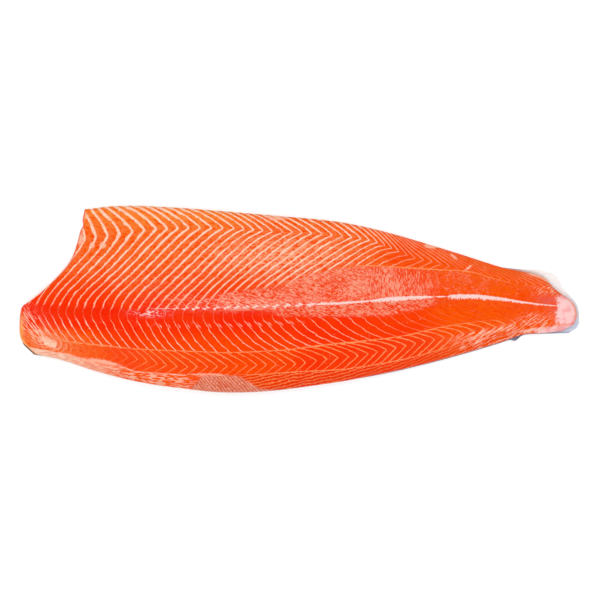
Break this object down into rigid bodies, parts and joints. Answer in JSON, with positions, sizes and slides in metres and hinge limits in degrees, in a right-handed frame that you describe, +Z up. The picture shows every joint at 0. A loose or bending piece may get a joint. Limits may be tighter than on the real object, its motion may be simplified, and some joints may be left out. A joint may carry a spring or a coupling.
{
  "type": "raw salmon fillet",
  "caption": "Whole raw side of salmon with its skin on, lying skin down: cut head end, thick back, thin belly, tapered tail and pale muscle lines.",
  "frame": {"origin": "centre of the fillet's box, on the surface it lies on", "axes": "+X along the fillet from the head cut to the tail, +Y from the back to the belly, +Z up from the skin to the cut face"},
  "size_m": [0.5591, 0.1862, 0.0341],
  "materials": {
    "flesh": "wet raw salmon flesh, orange-red, with pale pink fat lines between the muscle bands",
    "skin": "wet scaled fish skin, blue-grey along the back and silver towards the belly"
  },
  "bodies": {
    "root": {"flesh": "flesh", "skin": "skin"}
  },
  "joints": []
}
